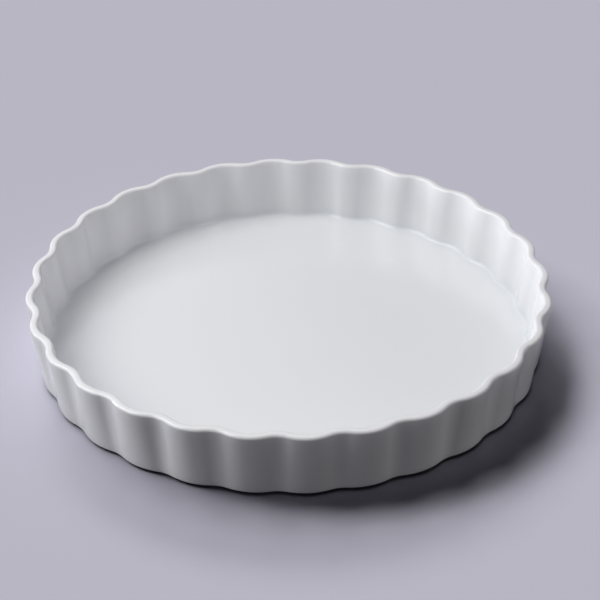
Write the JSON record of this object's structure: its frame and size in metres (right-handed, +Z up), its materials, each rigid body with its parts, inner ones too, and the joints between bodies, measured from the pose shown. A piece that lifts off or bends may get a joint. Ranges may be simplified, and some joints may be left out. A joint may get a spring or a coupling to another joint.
{
  "type": "quiche dish",
  "caption": "Round shallow baking dish of white glazed porcelain, with a flared fluted wall, a rounded lip, a flat floor and a bare foot ring.",
  "frame": {"origin": "Centre of the flat bearing face of the foot ring, on the surface that the dish stands on.", "axes": "+Z up, out of the open well and along the axis of the flutes; +X through the crest of one flute; +Y is level, with a crest on it too."},
  "size_m": [0.28, 0.28, 0.039],
  "materials": {
    "glazed_porcelain": "fired porcelain under a thin glossy white glaze, bare and matt only on the bearing face of the foot ring",
    "pooled_glaze": "glossy white glaze that has settled level on a flat surface",
    "bare_porcelain": "unglazed fired porcelain, matt and finely grained, as on the bearing face of the foot ring"
  },
  "bodies": {
    "root": {"porcelain_body": "glazed_porcelain", "well_glaze": "pooled_glaze", "recess_glaze": "pooled_glaze"}
  },
  "joints": []
}
